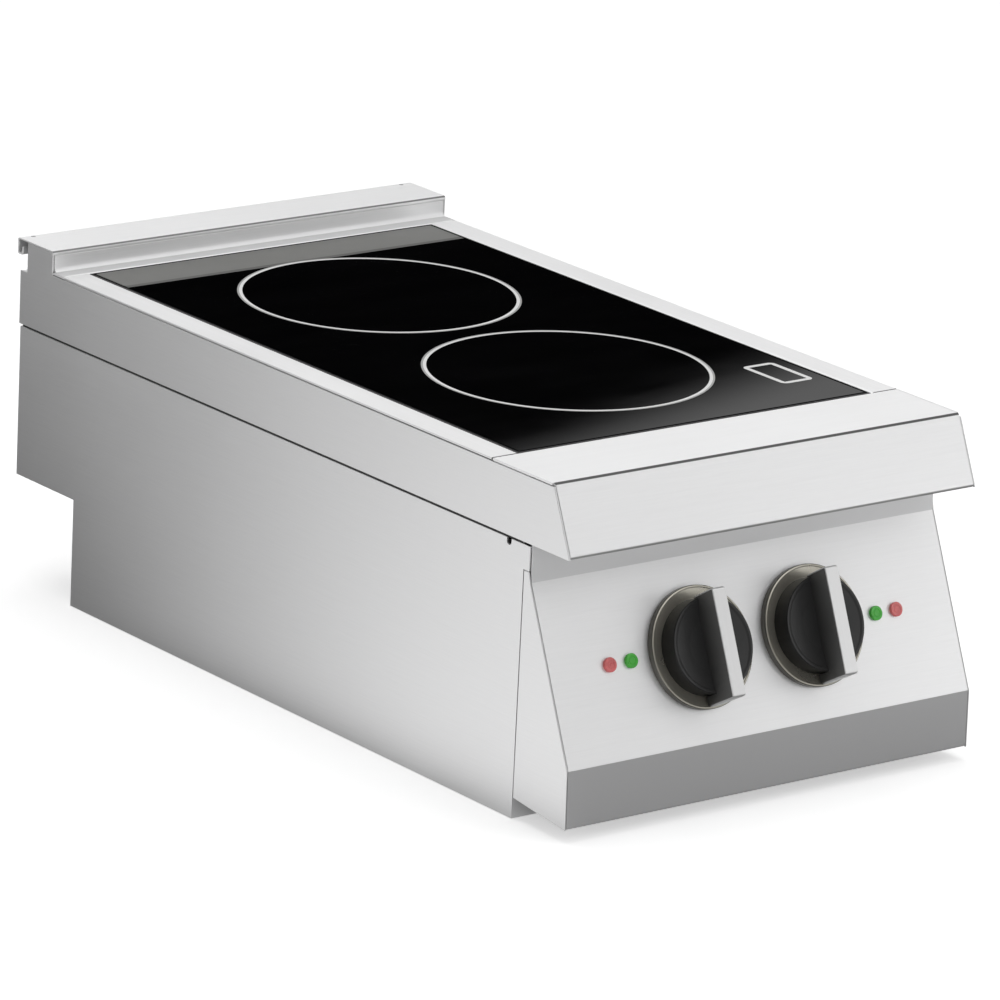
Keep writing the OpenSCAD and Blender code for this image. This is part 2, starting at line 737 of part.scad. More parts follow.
module heat_sink(side) color("silver") {
    sink_w = 80;
    sink_l = 150;
    foot_t = 6;
    fin_t = 1.8;
    low_x = side * unit_x + side * 22 - sink_w / 2;
    low_y = board_y + 20;
    low_z = board_z + board_t;
    pitch = (sink_w - fin_t) / (fin_n - 1);
    block([low_x, low_y, low_z], [low_x + sink_w, low_y + sink_l, low_z + foot_t]);
    for (i = [0 : fin_n - 1])
        block([low_x + i * pitch, low_y, low_z], [low_x + i * pitch + fin_t, low_y + sink_l, low_z + sink_h]);
}

rotor_low = 4;
rotor_high = fan_h - 2;
spindle_top = rotor_high - 3;

module at_fan(side) {
    translate([side * unit_x, front_y + body_front + fan_y, base_top]) children();
}

module fan_frame(side) color("dimgray") at_fan(side) {
    spoke_w = 5;
    plate_h = 3;
    difference() {
        translate([-fan_w / 2, -fan_w / 2, 0]) cube([fan_w, fan_w, fan_h]);
        translate([0, 0, -1]) cylinder(r = fan_r, h = fan_h + 2);
    }
    cylinder(r = hub_r, h = plate_h);
    for (a = [45, 135]) rotate([0, 0, a])
        translate([-fan_r - 1, -spoke_w / 2, 0]) cube([2 * fan_r + 2, spoke_w, plate_h]);
    cylinder(r = spindle_r, h = spindle_top);
}

module fan_rotor(side) color("black") at_fan(side) {
    pitch_angle = 38;
    blade_t = 1.6;
    chord = 24;
    tip = fan_r - blade_gap;
    difference() {
        union() {
            translate([0, 0, rotor_low]) cylinder(r = hub_r, h = rotor_high - rotor_low);
            intersection() {
                translate([0, 0, rotor_low]) cylinder(r = tip, h = rotor_high - rotor_low);
                for (k = [0 : blade_n - 1]) rotate([0, 0, k * 360 / blade_n])
                    translate([0, 0, (rotor_low + rotor_high) / 2]) rotate([pitch_angle, 0, 0])
                        translate([hub_r / 2, -chord / 2, -blade_t / 2])
                            cube([fan_r, chord, blade_t]);
            }
        }
        cylinder(r = spindle_r + shaft_play, h = spindle_top + 1);
    }
}

module filter_board() color("darkgreen") {
    filter_w = 130;
    filter_l = 70;
    choke_r = 22;
    low_x = -body_in_w / 2 + 20;
    low_y = board_y + board_l + 15;
    block([low_x, low_y, base_top + standoff_h],
        [low_x + filter_w, low_y + filter_l, base_top + standoff_h + board_t]);
    for (x = [8, filter_w - 8]) for (y = [8, filter_l - 8])
        translate([low_x + x, front_y + low_y + y, base_top]) cylinder(r = 3, h = standoff_h);
    for (i = [0, 1])
        translate([low_x + (i + 0.5) * filter_w / 2, front_y + low_y + filter_l / 2,
            base_top + standoff_h + board_t]) tube(choke_r, choke_r / 2, choke_r);
}

module terminal_block() color("ivory") {
    pole_w = 14;
    pole_n = 5;
    pole_l = 32;
    pole_h = 26;
    screw_r = 3;
    low_x = gland_x - pole_n * pole_w / 2;
    low_y = board_y + board_l + 30;
    difference() {
        block([low_x, low_y, base_top], [low_x + pole_n * pole_w, low_y + pole_l, base_top + pole_h]);
        for (i = [0 : pole_n - 1])
            translate([low_x + (i + 0.5) * pole_w, front_y + low_y + pole_l / 2, base_top + pole_h / 2])
                cylinder(r = screw_r, h = pole_h);
    }
}

module cable_gland() color("dimgray") translate([gland_x, front_y + notch_y, gland_z]) rotate([-90, 0, 0]) {
    hex_h = 6;
    dome_h = 15;
    inside = 14;
    difference() {
        union() {
            cylinder(r = gland_shank_r + 5, h = hex_h, $fn = 6);
            translate([0, 0, hex_h]) cylinder(r = gland_shank_r + 2, h = dome_h - 3);
            translate([0, 0, hex_h + dome_h - 3])
                cylinder(r1 = gland_shank_r + 2, r2 = gland_r + 1.5, h = 3);
            translate([0, 0, -inside]) cylinder(r = gland_shank_r, h = inside);
        }
        translate([0, 0, -inside - 1]) cylinder(r = gland_r, h = inside + hex_h + dome_h + 2);
    }
    translate([0, 0, -body_t - hex_h]) difference() {
        cylinder(r = gland_shank_r + 5, h = hex_h, $fn = 6);
        translate([0, 0, -1]) cylinder(r = gland_shank_r, h = hex_h + 2);
    }
}

front_nosing();
worktop_rail(-1);  // worktop_rail_left
worktop_rail(1);  // worktop_rail_right
worktop_rear();
upstand_cap();
cap_rivets();
side_band(-1);  // side_band_left
side_band(1);  // side_band_right
rear_band();
exhaust_grille();
glass_ledge();
glass_seal();
glass_plate();
side_panel(-1);  // side_panel_left
side_panel(1);  // side_panel_right
rear_panel();
connection_panel();
base_plate();
base_screws();
front_crossmember();
control_panel();
control_cheek(-1);  // control_cheek_left
control_cheek(1);  // control_cheek_right
knob_skirt(-1);  // knob_skirt_left
knob_drum(-1);  // knob_drum_left
knob_grip(-1);  // knob_grip_left
knob_face(-1);  // knob_face_left
knob_shaft(-1);  // knob_shaft_left
knob_skirt(1);  // knob_skirt_right
knob_drum(1);  // knob_drum_right
knob_grip(1);  // knob_grip_right
knob_face(1);  // knob_face_right
knob_shaft(1);  // knob_shaft_right
rotary_switch(-1);  // rotary_switch_left
rotary_switch(1);  // rotary_switch_right
pilot_lens(-light_out_x, "indianred");  // pilot_red_left
pilot_lens(-light_in_x, "limegreen");  // pilot_green_left
pilot_lens(light_in_x, "limegreen");  // pilot_green_right
pilot_lens(light_out_x, "indianred");  // pilot_red_right
pilot_holders();
coil_winding(0);  // coil_winding_front
coil_winding(1);  // coil_winding_rear
coil_carrier(0);  // coil_carrier_front
coil_carrier(1);  // coil_carrier_rear
ferrite_bars();
mica_discs();
zone_sensors();
coil_tray();
power_board(-1);  // power_board_left
power_board(1);  // power_board_right
heat_sink(-1);  // heat_sink_left
heat_sink(1);  // heat_sink_right
fan_frame(-1);  // fan_frame_left
fan_frame(1);  // fan_frame_right
fan_rotor(-1);  // fan_rotor_left
fan_rotor(1);  // fan_rotor_right
filter_board();
terminal_block();
cable_gland();
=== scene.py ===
"""Finished looks for the two-zone counter-top induction unit.

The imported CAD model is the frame. The folded worktop, the glass, the knobs, the pilot
lenses and the cable gland are replaced by surfaces with rounded edges that take their
places from the CAD's boxes. Every other node keeps its CAD mesh and gets its material.
"""

import json
import math

import bpy
import numpy as np
from mathutils import Matrix, Vector


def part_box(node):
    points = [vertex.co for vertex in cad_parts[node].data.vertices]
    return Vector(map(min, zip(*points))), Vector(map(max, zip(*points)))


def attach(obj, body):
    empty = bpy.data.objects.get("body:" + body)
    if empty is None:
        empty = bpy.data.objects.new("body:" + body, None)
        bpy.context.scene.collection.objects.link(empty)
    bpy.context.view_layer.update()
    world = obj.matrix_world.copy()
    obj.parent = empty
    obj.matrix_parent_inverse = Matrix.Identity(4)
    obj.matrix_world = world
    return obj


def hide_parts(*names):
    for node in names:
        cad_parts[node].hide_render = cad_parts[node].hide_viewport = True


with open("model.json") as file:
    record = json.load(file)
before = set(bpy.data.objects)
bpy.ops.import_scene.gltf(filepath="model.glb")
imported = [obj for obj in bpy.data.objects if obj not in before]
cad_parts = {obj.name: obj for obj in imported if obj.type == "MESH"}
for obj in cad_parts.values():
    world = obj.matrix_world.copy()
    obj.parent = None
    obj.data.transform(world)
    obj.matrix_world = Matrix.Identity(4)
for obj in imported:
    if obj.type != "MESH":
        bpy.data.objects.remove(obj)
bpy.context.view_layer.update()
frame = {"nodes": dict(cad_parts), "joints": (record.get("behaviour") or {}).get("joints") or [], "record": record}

mm = 0.001
FADE = 0.3 * mm  # over which a painted crease shade or a painted change of tone runs out
X, Y, Z = np.eye(3)
SIDES = ((-1, "left"), (1, "right"))


# ---------------------------------------------------------------- shape builders
def unit(v):
    return v / np.linalg.norm(v, axis=-1, keepdims=True)


def left(v):
    return np.stack([-v[..., 1], v[..., 0]], -1)


def rounded(points, radii, steps=6):
    """A closed counter-clockwise outline whose corners are arcs, as points and outward normals.

    P(i, a) = C_i + s_i r_i N(i, a) and N(i, a) = -R(a) m_i, where m_i is the left normal of the
    edge before corner i, C_i the centre of its arc, s_i the sign of its turn t_i, and R(a) a
    turn by a, which runs from 0 to t_i."""
    p = np.asarray(points, float)
    r = np.broadcast_to(np.asarray(radii, float), len(p))
    before, after = unit(p - np.roll(p, 1, 0)), unit(np.roll(p, -1, 0) - p)
    m, n = left(before), left(after)
    turn = np.arctan2(
        before[:, 0] * after[:, 1] - before[:, 1] * after[:, 0], (before * after).sum(1)
    )
    pull = np.sign(turn) * r
    centre = p + (pull / (1 + (m * n).sum(1)))[:, None] * (m + n)
    a = turn[:, None] * np.linspace(0, 1, steps + 1)
    c, s = np.cos(a), np.sin(a)
    normal = -np.stack(
        [m[:, None, 0] * c - m[:, None, 1] * s, m[:, None, 0] * s + m[:, None, 1] * c], -1
    )
    return (centre[:, None] + pull[:, None, None] * normal).reshape(-1, 2), normal.reshape(-1, 2)


def folded(path, thick, bend, edge, steps=6):
    """The outline of a folded sheet: there along the path, and back along the path moved by
    the thickness to its left, with bends of inner radius bend and free edges of radius edge."""
    p = np.asarray(path, float)
    along = unit(np.diff(p, axis=0))
    m = left(along)
    back = p.copy()
    back[0] += thick * m[0]
    back[-1] += thick * m[-1]
    back[1:-1] += thick * (m[:-1] + m[1:]) / (1 + (m[:-1] * m[1:]).sum(1))[:, None]
    to_left = along[:-1, 0] * along[1:, 1] - along[:-1, 1] * along[1:, 0] > 0
    b = np.broadcast_to(np.asarray(bend, float), len(to_left))
    near, far = np.where(to_left, b + thick, b), np.where(to_left, b, b + thick)
    radii = np.concatenate([[edge], near, [edge, edge], far[::-1], [edge]])
    return rounded(np.concatenate([p, back[::-1]]), radii, steps)


def quads(rows, cols):
    """The faces of a grid of rows rings of cols points, each ring closed."""
    i = np.arange(cols)
    k = (i + 1) % cols
    j = np.arange(rows - 1)[:, None] * cols
    return np.stack([j + i, j + k, j + cols + k, j + cols + i], -1).reshape(-1, 4).tolist()


def prism(outline, axes, low, high, edge, steps=4, origin=(0, 0, 0)):
    """An outline carried from low to high along the third axis, with rounded ends.

    S(i, a) = P_i - e (1 - sin a) N_i across, and e (1 - cos a) from the end along the axis,
    for a from 0 to 90 degrees; its normal is N_i sin a - W cos a."""
    p, n = outline
    u, v, w = axes
    first, last = edge if isinstance(edge, tuple) else (edge, edge)
    a = np.linspace(0, math.pi / 2, steps + 1)
    draw, rise = 1 - np.sin(a), 1 - np.cos(a)
    inset = np.concatenate([first * draw, last * draw[::-1]])[:, None, None]
    at = np.concatenate([low + first * rise, (high - last * rise)[::-1]])[:, None, None]
    tilt = np.concatenate([a, math.pi - a[::-1]])[:, None, None]
    q = p[None] - inset * n[None]
    verts = np.asarray(origin) + q[..., :1] * u + q[..., 1:] * v + at * w
    side = n[None, :, :1] * u + n[None, :, 1:] * v
    normals = np.sin(tilt) * side - np.cos(tilt) * w
    rows, cols = len(at), len(p)
    faces = quads(rows, cols)
    faces += [list(range(cols))[::-1], list(range((rows - 1) * cols, rows * cols))]
    return verts.reshape(-1, 3), faces, normals.reshape(-1, 3)


def lathe(outline, axes, origin, segments=160, swell=None):
    """An outline (radius, height) turned about the third axis.

    S(i, t) = O + g r_i (cos t U + sin t V) + h_i W, with g = 1 or swell(t, r_i, h_i). Points on
    the axis become one vertex."""
    p, n = outline
    u, v, w = axes
    t = np.linspace(0, 2 * math.pi, segments, endpoint=False)[:, None, None]
    out = np.cos(t) * u + np.sin(t) * v
    r, h = p[None, :, :1], p[None, :, 1:]
    g = 1 if swell is None else swell(t, r, h)
    verts = (np.asarray(origin) + g * r * out + h * w).reshape(-1, 3)
    normals = (n[None, :, :1] * out + n[None, :, 1:] * w).reshape(-1, 3)
    rows, cols = segments, len(p)
    index = np.arange(rows * cols).reshape(rows, cols)
    index[:, p[:, 0] < 1e-7] = index[0, p[:, 0] < 1e-7]
    nxt = np.roll(index, -1, 0)
    f = np.stack([index, nxt, np.roll(nxt, -1, 1), np.roll(index, -1, 1)], -1).reshape(-1, 4)
    faces = [[x for k, x in enumerate(q) if x != q[k - 1]] for q in f.tolist()]
    faces = [q for q in faces if len(set(q)) > 2]
    used = np.unique(np.concatenate([np.array(q) for q in faces]))
    place = np.zeros(rows * cols, int)
    place[used] = np.arange(len(used))
    faces = [[int(place[x]) for x in q] for q in faces]
    return verts[used], faces, None if swell else normals[used]


def band(outline, half, low, high, origin):
    """A flat strip that follows an outline in the XY plane: S(i, k) = P_i + o_k N_i at height
    h_k, with (o, h) going round the four corners of the strip's section."""
    p, n = outline
    section = [(half, low), (half, high), (-half, high), (-half, low)]
    rings = [np.c_[p + o * n, np.full(len(p), h)] for o, h in section]
    verts = np.concatenate(rings + rings[:1]) + np.asarray(origin)
    faces = quads(5, len(p))
    return verts, [[x % (4 * len(p)) for x in q] for q in faces], None


def creases(*lines):
    """A mark of painted shade for the points near lines along X, each (y, z, reach, strength):
    strength times (reach - distance) / FADE, kept between 0 and strength. With z None the line is
    the plane at y."""

    def mark(p):
        value = np.zeros(len(p))
        for y, z, reach, strength in lines:
            off = np.hypot(p[:, 1] - y, 0 if z is None else p[:, 2] - z)
            value = np.maximum(value, strength * np.clip((reach - off) / FADE, 0, 1))
        return value

    return mark


def make(name, parts, body, slot, replaces=(), mark=None):
    """One object out of several shapes, smooth where the shapes give normals.

    mark(points) gives each point a value from 0 to 1, where its material has its second colour, painted shade."""
    verts, faces, normals, base = [], [], [], 0
    for v, f, n in parts:
        verts.append(v)
        normals.append(n)
        faces += [[x + base for x in q] for q in f]
        base += len(v)
    mesh = bpy.data.meshes.new(name)
    mesh.from_pydata(np.concatenate(verts).tolist(), [], faces)
    mesh.update()
    if all(n is not None for n in normals):
        mesh.shade_smooth()
        mesh.normals_split_custom_set_from_vertices(unit(np.concatenate(normals)).tolist())
    mesh.materials.append(finish_of(slot))
    if mark:
        values = mesh.attributes.new("mark", "FLOAT", "POINT").data
        values.foreach_set("value", mark(np.concatenate(verts)))
    obj = bpy.data.objects.new(name, mesh)
    bpy.context.scene.collection.objects.link(obj)
    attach(obj, body)
    if replaces:
        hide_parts(*replaces)
    return obj


# ---------------------------------------------------------------- sizes, from the CAD's boxes
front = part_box("side_band_left")[0].y
band_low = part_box("side_band_left")[0].z
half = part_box("upstand_cap")[1].x
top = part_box("front_nosing")[1].z
cap_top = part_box("upstand_cap")[1].z
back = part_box("upstand_cap")[1].y
nose_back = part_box("front_nosing")[1].y
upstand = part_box("upstand_cap")[0].y
rail_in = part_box("worktop_rail_right")[0].x
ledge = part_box("glass_ledge")[1].z
strip_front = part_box("worktop_rail_left")[1].y
band_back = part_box("side_band_left")[1].y
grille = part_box("exhaust_grille")[1].y
sheet_t, band_t, cap_t = 2 * mm, 1.5 * mm, 1.5 * mm
bend, soft, ease = 0.8 * mm, 0.5 * mm, 0.42 * mm
gap = 0.4 * mm
hair = 0.12 * mm  # the gap that keeps two finished pieces from touching
slope_run, slope_drop = 24 * mm, 55 * mm  # of the nosing's sloping face
strip_high, recess_low = 57, 190  # heights of the control panel's two folds, in mm
across = (Y, Z, X)


def at(*points):
    """Points (depth behind the worktop's lower front edge, height), both in mm."""
    return [(front + y * mm, z * mm) for y, z in points]


# ---------------------------------------------------------------- materials
class Tree:
    """A small helper that adds and links the nodes of one material."""

    def __init__(self, name):
        self.mat = bpy.data.materials.new(name)
        self.mat.use_nodes = True
        self.tree = self.mat.node_tree
        self.tree.nodes.clear()
        self.out = self.add("ShaderNodeOutputMaterial")

    def add(self, kind, **inputs):
        node = self.tree.nodes.new(kind)
        for key, value in inputs.items():
            self.put(node, key, value)
        return node

    def put(self, node, key, value):
        numbered = key[0] == "i" and key[1:].isdigit()
        socket = node.inputs[int(key[1:]) if numbered else key.replace("_", " ")]
        if isinstance(value, bpy.types.NodeSocket):
            self.tree.links.new(value, socket)
        else:
            socket.default_value = value

    def noise(self, scale, stretch=(1, 1, 1), detail=3.0, rough=0.55):
        coord = self.add("ShaderNodeTexCoord")
        mapping = self.add("ShaderNodeMapping", Vector=coord.outputs["Object"], Scale=stretch)
        tex = self.add(
            "ShaderNodeTexNoise", Vector=mapping.outputs[0], Scale=scale, Detail=detail, Roughness=rough
        )
        return tex.outputs[0]

    def spread(self, value, low, high, a=0.3, b=0.7):
        node = self.add("ShaderNodeMapRange", i0=value, i1=a, i2=b, i3=low, i4=high)
        return node.outputs[0]

    def math(self, kind, a, b, c=0.0):
        node = self.add("ShaderNodeMath", i0=a, i1=b, i2=c)
        node.operation = kind
        return node.outputs[0]

    def tint(self, factor, dark, light):
        node = self.add("ShaderNodeMix")
        node.data_type = "RGBA"
        self.put(node, "i0", factor)
        self.put(node, "i6", dark if isinstance(dark, bpy.types.NodeSocket) else (*dark, 1))
        self.put(node, "i7", (*light, 1))
        return node.outputs[2]

    def marked(self, colour, second):
        """The colour, or a second one where the mesh's mark is, painted shade."""
        node = self.add("ShaderNodeAttribute")
        node.attribute_name = "mark"
        return self.tint(node.outputs["Fac"], colour, second)

    def bump(self, height, strength, depth, edge=0.0):
        node = self.add("ShaderNodeBump", Height=height, Strength=strength, Distance=depth)
        if edge:
            bevel = self.add("ShaderNodeBevel", Radius=edge)
            bevel.samples = 4
            self.put(node, "Normal", bevel.outputs[0])
        return node.outputs[0]

    def surface(self, **inputs):
        node = self.add("ShaderNodeBsdfPrincipled", **inputs)
        self.tree.links.new(node.outputs[0], self.out.inputs[0])
        return self.mat


def scaled(colour, k):
    return tuple(min(1.0, c * k) for c in colour)


def brushed(name, colour, grain, rough=0.36, metallic=0.85, edge=0.0, depth=0.02, crease_shade=None, shade_levels=()):
    """Satin steel: a fine grain drawn out along one axis, soft clouds and faint long marks.

    It takes a dark colour where the mesh's mark is, painted shade along bends and joints, and each
    (from, to, colour) in a list of heights gives it another colour between them, painted shade too."""
    t = Tree(name)
    fine = t.noise(1.0, tuple(30 if g else 1700 for g in grain), 4, 0.65)
    long = t.noise(1.0, tuple(5 if g else 420 for g in grain), 3, 0.6)
    cloud = t.noise(5.0, detail=2)
    broad = t.math("ADD", t.spread(long, 0, 0.2), t.spread(cloud, 0, 0.25))
    mix = t.math("ADD", t.spread(fine, 0.0, 0.55), broad)
    shade = t.tint(mix, scaled(colour, 0.96), scaled(colour, 1.035))
    if crease_shade:
        shade = t.marked(shade, crease_shade)
    for low, high, other in shade_levels:
        place = t.add("ShaderNodeSeparateXYZ", Vector=t.add("ShaderNodeTexCoord").outputs["Object"])
        above = t.spread(place.outputs[2], 0, 1, low, low + FADE)
        below = t.spread(place.outputs[2], 1, 0, high - FADE, high)
        shade = t.tint(t.math("MULTIPLY", above, below), shade, other)
    return t.surface(
        Base_Color=shade,
        Metallic=metallic,
        Roughness=t.spread(mix, rough - 0.05, rough + 0.06, 0, 1),
        Normal=t.bump(fine, depth, 0.0002, edge),
    )


def moulded(name, colour, rough=0.4, grain=900, depth=0.08, edge=0.0, vary=0.12, second=None, **more):
    """Moulded plastic or ceramic: a fine pebble, a slightly uneven gloss and tone, and a second colour
    where the mesh's mark is, painted shade.
    """
    t = Tree(name)
    pebble = t.noise(grain, detail=2)
    cloud = t.noise(14.0, detail=3)
    shade = t.tint(t.spread(cloud, 0, 1), scaled(colour, 1 - vary), scaled(colour, 1 + vary))
    return t.surface(
        Base_Color=t.marked(shade, second) if second else shade,
        Roughness=t.spread(cloud, rough - 0.05, rough + 0.07),
        Normal=t.bump(pebble, depth, 0.0003, edge),
        **more,
    )


def spun(name, colour, side, rough=0.3):
    """Bead-blasted metal, with a very fine even grain, and darker on its outer side: painted shade."""
    t = Tree(name)
    fine = t.noise(2600.0, detail=2, rough=0.5)
    cloud = t.noise(30.0, detail=2)
    shade = t.tint(t.spread(cloud, 0, 1), scaled(colour, 0.92), scaled(colour, 1.08))
    return t.surface(
        Base_Color=t.marked(shade, side),
        Metallic=0.75,
        Roughness=t.spread(cloud, rough - 0.04, rough + 0.06),
        Normal=t.bump(fine, 0.02, 0.0001),
    )


def circuit(name):
    """Green board: two tones of resin in patches, as over copper."""
    t = Tree(name)
    tracks = t.noise(160.0, (1, 1, 0.2), 1, 0.2)
    weave = t.noise(1200.0, detail=1)
    patches = t.spread(tracks, 0, 1, 0.47, 0.53)
    return t.surface(
        Base_Color=t.tint(patches, (0.010, 0.075, 0.028), (0.030, 0.16, 0.06)),
        Roughness=t.spread(weave, 0.28, 0.42),
        Normal=t.bump(tracks, 0.15, 0.0002),
    )


def winding(name):
    """Copper litz wound in a spiral: rings about the coil's centre, twisted strands across."""
    t = Tree(name)
    coord = t.add("ShaderNodeTexCoord")
    wave = t.add(
        "ShaderNodeTexWave", Vector=coord.outputs["Object"], Scale=60.0, Distortion=1.5, Detail=2.0
    )
    wave.wave_type = "RINGS"
    wave.rings_direction = "Z"
    strands = t.noise(1400.0, detail=2)
    turns = t.spread(wave.outputs[1], 0, 1, 0, 1)
    return t.surface(
        Base_Color=t.tint(turns, (0.28, 0.10, 0.035), (0.72, 0.34, 0.16)),
        Metallic=0.8,
        Roughness=t.spread(strands, 0.32, 0.5),
        Normal=t.bump(wave.outputs[1], 0.5, 0.0006),
    )


def ceramic_glass(name):
    """Black ceramic glass: near-mirror gloss, with a trace of haze from wiping."""
    t = Tree(name)
    haze = t.noise(7.0, (1, 2.5, 1), 4, 0.6)
    ripple = t.noise(30.0, detail=1)
    return t.surface(
        Base_Color=t.tint(t.spread(haze, 0, 1), (0.0016, 0.0016, 0.0018), (0.0026, 0.0026, 0.0029)),
        Roughness=t.spread(haze, 0.02, 0.045),
        IOR=1.5,
        Normal=t.bump(ripple, 0.01, 0.0002),
    )


def jelly(name, colour, deep):
    """A coloured lens: a bright skin over a deeper body, softly see-through."""
    t = Tree(name)
    cloud = t.noise(220.0, detail=3)
    return t.surface(
        Base_Color=t.tint(t.spread(cloud, 0, 1), deep, colour),
        Roughness=t.spread(cloud, 0.26, 0.36),
        Subsurface_Weight=0.2,
        Subsurface_Scale=0.002,
        Coat_Weight=0.3,
        Coat_Roughness=0.2,
        Normal=t.bump(t.noise(1500.0, detail=2), 0.06, 0.0002),
    )


STEEL = (0.93, 0.93, 0.933)
# painted shade, darkening the worktop's bends and the rails' joint with the nosing
CREASE_SHADE = (0.10, 0.10, 0.10)
UNDER, OVER = -1, 1  # heights that nothing reaches
PANEL_SHADE_LEVELS = [
    (UNDER, strip_high * mm, (0.60, 0.60, 0.605)),  # painted shade on the lower strip
    (recess_low * mm, OVER, (0.78, 0.78, 0.785)),  # painted shade in the recess under the nosing
]
REAR_SHADE_LEVELS = [(top - 0.5 * mm, top + 0.6 * mm, (0.70, 0.70, 0.703))]  # painted shade at the foot of the cove
MAKERS = {
    "worktop_steel": lambda: brushed("worktop_steel", STEEL, (1, 0, 0), 0.42, 0.66, crease_shade=CREASE_SHADE),
    "worktop_steel_long": lambda: brushed("worktop_steel_long", STEEL, (0, 1, 0), 0.40, 0.7, crease_shade=CREASE_SHADE),
    # a darker copy of the worktop steel: painted shade on the side bands
    "worktop_steel_shaded_band": lambda: brushed("worktop_steel_shaded_band", (0.79, 0.79, 0.793), (0, 1, 0), 0.40),
    # a lighter copy of the worktop steel, painted light, with painted shade at the foot of the cove
    "worktop_steel_rear_lit": lambda: brushed(
        "worktop_steel_rear_lit", (0.96, 0.96, 0.963), (1, 0, 0), 0.42, 0.5, shade_levels=REAR_SHADE_LEVELS
    ),
    "body_steel": lambda: brushed("body_steel", (0.80, 0.80, 0.803), (0, 1, 0), 0.42, edge=0.0006),
    "panel_steel": lambda: brushed(
        "panel_steel", (0.94, 0.94, 0.943), (1, 0, 0), 0.42, 0.52, edge=0.0006, shade_levels=PANEL_SHADE_LEVELS
    ),
    "zinc_steel": lambda: brushed("zinc_steel", (0.40, 0.405, 0.41), (1, 1, 0), 0.45, edge=0.0003),
    "black_glass": lambda: ceramic_glass("black_glass"),
    "rear_grey_band": lambda: moulded("rear_grey_band", (0.152, 0.152, 0.144), 0.5, vary=0.03),
    "rear_dark_line": lambda: moulded("rear_dark_line", (0.068, 0.068, 0.064), 0.5, vary=0.03),
    "grey_rim_film": lambda: moulded("grey_rim_film", (0.36, 0.36, 0.355), 0.5, vary=0.06),
    "border_print": lambda: moulded(
        "border_print", (0.002, 0.002, 0.002), 0.6, vary=0.05, Specular_IOR_Level=0.0
    ),
    "zone_print": lambda: moulded("zone_print", (0.80, 0.80, 0.795), 0.5, vary=0.06),
    "seal_rubber": lambda: moulded("seal_rubber", (0.030, 0.030, 0.031), 0.6),
    # its darker colour, on the skirt's outer rim, is painted shade
    "skirt_metal": lambda: spun("skirt_metal", (0.58, 0.555, 0.48), (0.14, 0.135, 0.12), 0.30),
    # its second colour, on the drum's side wall, is painted shade
    "black_plastic": lambda: moulded(
        "black_plastic", (0.036, 0.036, 0.036), 0.38, second=(0.008, 0.008, 0.008),
        Specular_IOR_Level=0.35,
    ),
    # its second colour, darker towards the bar's root, is painted shade
    "smoked_plastic": lambda: moulded(
        "smoked_plastic", (0.115, 0.115, 0.113), 0.36, second=(0.028, 0.028, 0.027)
    ),
    "face_metal": lambda: brushed("face_metal", (0.74, 0.74, 0.74), (0, 1, 1), 0.38),
    "shaft_steel": lambda: brushed("shaft_steel", (0.6, 0.6, 0.61), (1, 0, 0), 0.3),
    "switch_plastic": lambda: moulded("switch_plastic", (0.035, 0.037, 0.04), 0.45, edge=0.0005),
    "red_lens": lambda: jelly("red_lens", (0.80, 0.18, 0.18), (0.62, 0.12, 0.12)),
    "green_lens": lambda: jelly("green_lens", (0.06, 0.54, 0.035), (0.035, 0.40, 0.02)),
    "circuit_board": lambda: circuit("circuit_board"),
    "aluminium": lambda: brushed("aluminium", (0.72, 0.73, 0.74), (0, 1, 0), 0.35, edge=0.0003),
    "copper_litz": lambda: winding("copper_litz"),
    "ferrite": lambda: moulded("ferrite", (0.035, 0.034, 0.036), 0.55, 500, 0.2),
    "mica": lambda: moulded("mica", (0.52, 0.47, 0.34), 0.4, 120, 0.2, vary=0.25),
    "sensor_ceramic": lambda: moulded("sensor_ceramic", (0.78, 0.76, 0.70), 0.45),
    "terminal_plastic": lambda: moulded("terminal_plastic", (0.66, 0.64, 0.56), 0.42, edge=0.0005),
    "gland_plastic": lambda: moulded("gland_plastic", (0.045, 0.046, 0.048), 0.45, edge=0.0004),
}
made = {}


def finish_of(slot):
    if slot not in made:
        made[slot] = MAKERS[slot]()
    return made[slot]


for part in frame["record"]["subparts"]:
    mesh = frame["nodes"][part["node"]].data
    mesh.materials.clear()
    mesh.materials.append(finish_of(part["material_slot"]))

# ---------------------------------------------------------------- worktop
nose_top = front + slope_run
flange = 18 * mm
inner = half - band_t - gap


def flange_part(side, low, high):
    """The sheet folded down inside a side band, from low to high along Y."""
    x = side * (half - band_t - sheet_t / 2)
    x_in, x_out = x - sheet_t / 2, x + sheet_t / 2
    path = [(x_in, top - flange), (x_out, top - flange), (x_out, top - sheet_t), (x_in, top - sheet_t)]
    return prism(rounded(path, 0.2 * mm, 2), (X, Z, -Y), -high, -low, 0.15 * mm, 2)


def wings(outline):
    """The strips that carry a worktop sheet on from its folded middle to both side edges."""
    outer, joined = 0.45 * mm, 0.02 * mm
    return [
        prism(outline, across, -half, ease - inner, (outer, joined)),
        prism(outline, across, inner - ease, half, (joined, outer)),
    ]


slope_back = nose_top + sheet_t
profile = folded(
    [(nose_back, top), (nose_top, top), (front, band_low), (front + 12 * mm, band_low)],
    sheet_t, bend, soft,
)
plate = rounded(
    [(slope_back, top - sheet_t), (nose_back, top - sheet_t), (nose_back, top), (slope_back, top)],
    np.array([0.9, 0.5, 0.5, 0.9]) * mm,
)
nosing = [prism(profile, across, -inner, half - band_t - hair, ease), *wings(plate)]
nosing += [flange_part(side, front + 52 * mm, nose_back) for side, _ in SIDES]
# painted shade darkens the nosing's top-front bend and, more weakly, its bottom bend
make("nosing", nosing, "unit", "worktop_steel", ["front_nosing"],
     creases((nose_top, top, 1.6 * mm, 1), (front, band_low, 2.95 * mm, 0.55)))

